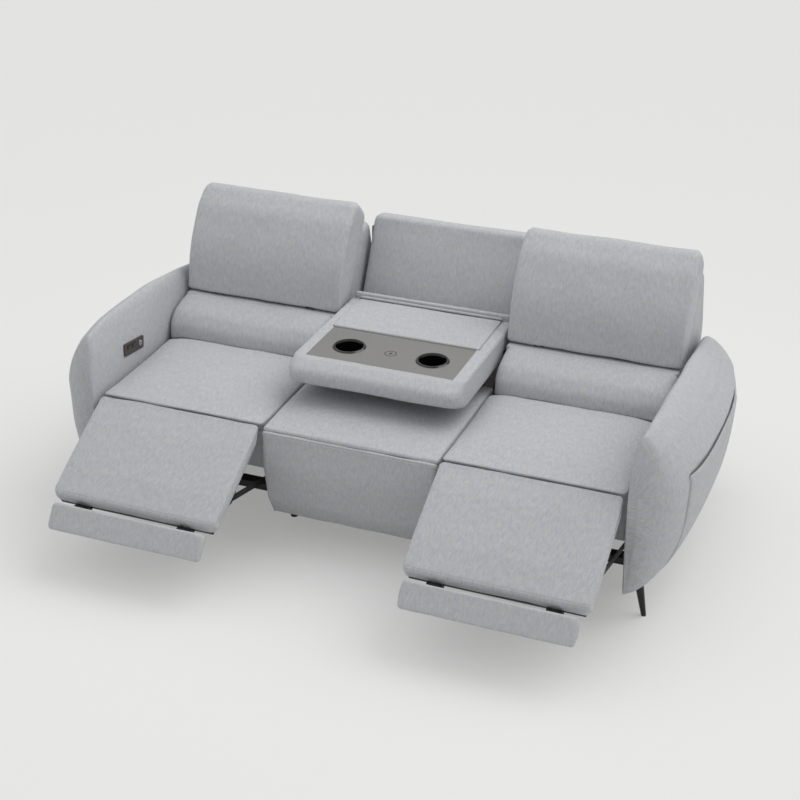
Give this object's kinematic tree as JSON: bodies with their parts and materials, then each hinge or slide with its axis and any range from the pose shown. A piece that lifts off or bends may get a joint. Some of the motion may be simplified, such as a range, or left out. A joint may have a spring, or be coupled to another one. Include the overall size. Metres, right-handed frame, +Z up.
{
  "type": "reclining sofa with drop-down console",
  "caption": "Power reclining sofa: drawn-out footrests with flaps, tilting headrests and a drop-down middle console with cup wells, charging spot and lidded bin.",
  "frame": {"origin": "on the floor, at the middle of the footprint as stored (footrests out, console down)", "axes": "+X to the right of someone who faces the sofa, +Y to its back, +Z up; the sofa faces -Y"},
  "size_m": [2.079, 1.3788, 0.8636],
  "materials": {
    "upholstery": "light grey melange twill with double topstitching",
    "upholstery_shaded": "light grey melange twill",
    "webbing": "black elastic seat webbing",
    "tab": "small reddish-brown seam tab, plain",
    "console_plate": "fine brushed grey-brown",
    "cup_holder": "gloss black",
    "charging_coil": "potted winding under the plate",
    "bin": "fine grain",
    "switch_bezel": "dark bronze",
    "switch_key": "black with a bright edge",
    "switch_round": "bright ring with a black centre",
    "mechanism": "black powder coat",
    "actuator": "black",
    "frame_tube": "black powder coat",
    "seat_timber": "planed pine",
    "leg": "satin black taper",
    "foot": "black",
    "hinge": "zinc plated"
  },
  "bodies": {
    "frame": {"left_arm": "upholstery", "right_arm": "upholstery", "arm_pockets": "upholstery", "switch_panels": "switch_bezel", "legs": "leg", "frame_feet": "foot", "base_frame": "frame_tube", "lower_back_panel": "upholstery_shaded", "power_supply": "actuator", "left_mechanism_frame": "mechanism", "right_mechanism_frame": "mechanism", "actuators": "actuator", "left_seat_cushion": "upholstery", "right_seat_cushion": "upholstery", "seat_frames": "seat_timber", "seat_webbing": "webbing", "seat_fascias": "upholstery_shaded", "middle_seat_cushion": "upholstery", "middle_seat_front": "upholstery_shaded", "middle_seat_frame": "seat_timber", "middle_back": "upholstery", "console_brackets": "mechanism"},
    "left_footrest": {"left_footrest_pad": "upholstery", "left_footrest_board": "mechanism"},
    "left_flap": {"left_flap_pad": "upholstery", "left_flap_brackets": "mechanism"},
    "left_cranks": {"left_footrest_cranks": "mechanism"},
    "left_couplers": {"left_footrest_couplers": "mechanism"},
    "left_back": {"left_back_shell": "upholstery", "left_lumbar_cushion": "upholstery", "left_back_irons": "mechanism"},
    "left_headrest": {"left_headrest_pad": "upholstery", "left_headrest_hinges": "mechanism"},
    "left_recline_button": {"left_recline_button": "switch_key"},
    "left_raise_button": {"left_raise_button": "switch_key"},
    "left_home_button": {"left_home_button": "switch_round"},
    "right_footrest": {"right_footrest_pad": "upholstery", "right_footrest_board": "mechanism"},
    "right_flap": {"right_flap_pad": "upholstery", "right_flap_brackets": "mechanism"},
    "right_cranks": {"right_footrest_cranks": "mechanism"},
    "right_couplers": {"right_footrest_couplers": "mechanism"},
    "right_back": {"right_back_shell": "upholstery", "right_lumbar_cushion": "upholstery", "right_back_irons": "mechanism", "seam_tab": "tab"},
    "right_headrest": {"right_headrest_pad": "upholstery", "right_headrest_hinges": "mechanism"},
    "right_recline_button": {"right_recline_button": "switch_key"},
    "right_raise_button": {"right_raise_button": "switch_key"},
    "right_home_button": {"right_home_button": "switch_round"},
    "console": {"console_body": "upholstery", "console_plate": "console_plate", "cup_holders": "cup_holder", "charging_coil": "charging_coil", "console_bin": "bin", "lid_hinge_pins": "hinge"},
    "lid": {"console_lid": "upholstery", "lid_hinge_leaves": "hinge"}
  },
  "joints": [
    {"name": "left_footrest_fold", "type": "hinge", "parent": "frame", "child": "left_footrest", "pos_m": [0, -0.28656, 0.426], "axis": [1, 0, 0], "range_deg": [0, 60.7]},
    {"name": "left_flap_fold", "type": "hinge", "parent": "left_footrest", "child": "left_flap", "pos_m": [0, -0.60655, 0.21157], "axis": [1, 0, 0], "range_deg": [0, 154.2]},
    {"name": "left_crank_swing", "type": "hinge", "parent": "frame", "child": "left_cranks", "pos_m": [0, -0.00456, 0.36], "axis": [1, 0, 0], "range_deg": [0, 60.7]},
    {"name": "left_coupler_swing", "type": "hinge", "parent": "left_cranks", "child": "left_couplers", "pos_m": [0, -0.17479, 0.19337], "axis": [-1, 0, 0], "range_deg": [0, 60.7]},
    {"name": "left_recline", "type": "hinge", "parent": "frame", "child": "left_back", "pos_m": [0, 0.33344, 0.38], "axis": [-1, 0, 0], "range_deg": [0, 20]},
    {"name": "left_headrest_tilt", "type": "hinge", "parent": "left_back", "child": "left_headrest", "pos_m": [0, 0.32362, 0.55415], "axis": [1, 0, 0], "range_deg": [0, 30]},
    {"name": "left_recline_press", "type": "slide", "parent": "frame", "child": "left_recline_button", "axis": [-1, 0, 0], "range_m": [0, 0.0015], "stiffness_N_per_m": 400},
    {"name": "left_raise_press", "type": "slide", "parent": "frame", "child": "left_raise_button", "axis": [-1, 0, 0], "range_m": [0, 0.0015], "stiffness_N_per_m": 400},
    {"name": "left_home_press", "type": "slide", "parent": "frame", "child": "left_home_button", "axis": [-1, 0, 0], "range_m": [0, 0.0015], "stiffness_N_per_m": 400},
    {"name": "right_footrest_fold", "type": "hinge", "parent": "frame", "child": "right_footrest", "pos_m": [0, -0.28656, 0.426], "axis": [1, 0, 0], "range_deg": [0, 60.7]},
    {"name": "right_flap_fold", "type": "hinge", "parent": "right_footrest", "child": "right_flap", "pos_m": [0, -0.60655, 0.21157], "axis": [1, 0, 0], "range_deg": [0, 154.2]},
    {"name": "right_crank_swing", "type": "hinge", "parent": "frame", "child": "right_cranks", "pos_m": [0, -0.00456, 0.36], "axis": [1, 0, 0], "range_deg": [0, 60.7]},
    {"name": "right_coupler_swing", "type": "hinge", "parent": "right_cranks", "child": "right_couplers", "pos_m": [0, -0.17479, 0.19337], "axis": [-1, 0, 0], "range_deg": [0, 60.7]},
    {"name": "right_recline", "type": "hinge", "parent": "frame", "child": "right_back", "pos_m": [0, 0.33344, 0.38], "axis": [-1, 0, 0], "range_deg": [0, 20]},
    {"name": "right_headrest_tilt", "type": "hinge", "parent": "right_back", "child": "right_headrest", "pos_m": [0, 0.32362, 0.55415], "axis": [1, 0, 0], "range_deg": [0, 30]},
    {"name": "right_recline_press", "type": "slide", "parent": "frame", "child": "right_recline_button", "axis": [1, 0, 0], "range_m": [0, 0.0015], "stiffness_N_per_m": 400},
    {"name": "right_raise_press", "type": "slide", "parent": "frame", "child": "right_raise_button", "axis": [1, 0, 0], "range_m": [0, 0.0015], "stiffness_N_per_m": 400},
    {"name": "right_home_press", "type": "slide", "parent": "frame", "child": "right_home_button", "axis": [1, 0, 0], "range_m": [0, 0.0015], "stiffness_N_per_m": 400},
    {"name": "console_fold", "type": "hinge", "parent": "frame", "child": "console", "pos_m": [0, 0.35544, 0.489], "axis": [-1, 0, 0], "range_deg": [0, 116]},
    {"name": "lid_open", "type": "hinge", "parent": "console", "child": "lid", "pos_m": [0, 0.40394, 0.58], "axis": [1, 0, 0], "range_deg": [-95, 0]}
  ],
  "couplings": [
    {"joint": "left_flap_fold", "follows": "left_footrest_fold", "ratio": 2.54},
    {"joint": "left_crank_swing", "follows": "left_footrest_fold", "ratio": 1},
    {"joint": "left_coupler_swing", "follows": "left_footrest_fold", "ratio": 1},
    {"joint": "right_flap_fold", "follows": "right_footrest_fold", "ratio": 2.54},
    {"joint": "right_crank_swing", "follows": "right_footrest_fold", "ratio": 1},
    {"joint": "right_coupler_swing", "follows": "right_footrest_fold", "ratio": 1}
  ]
}
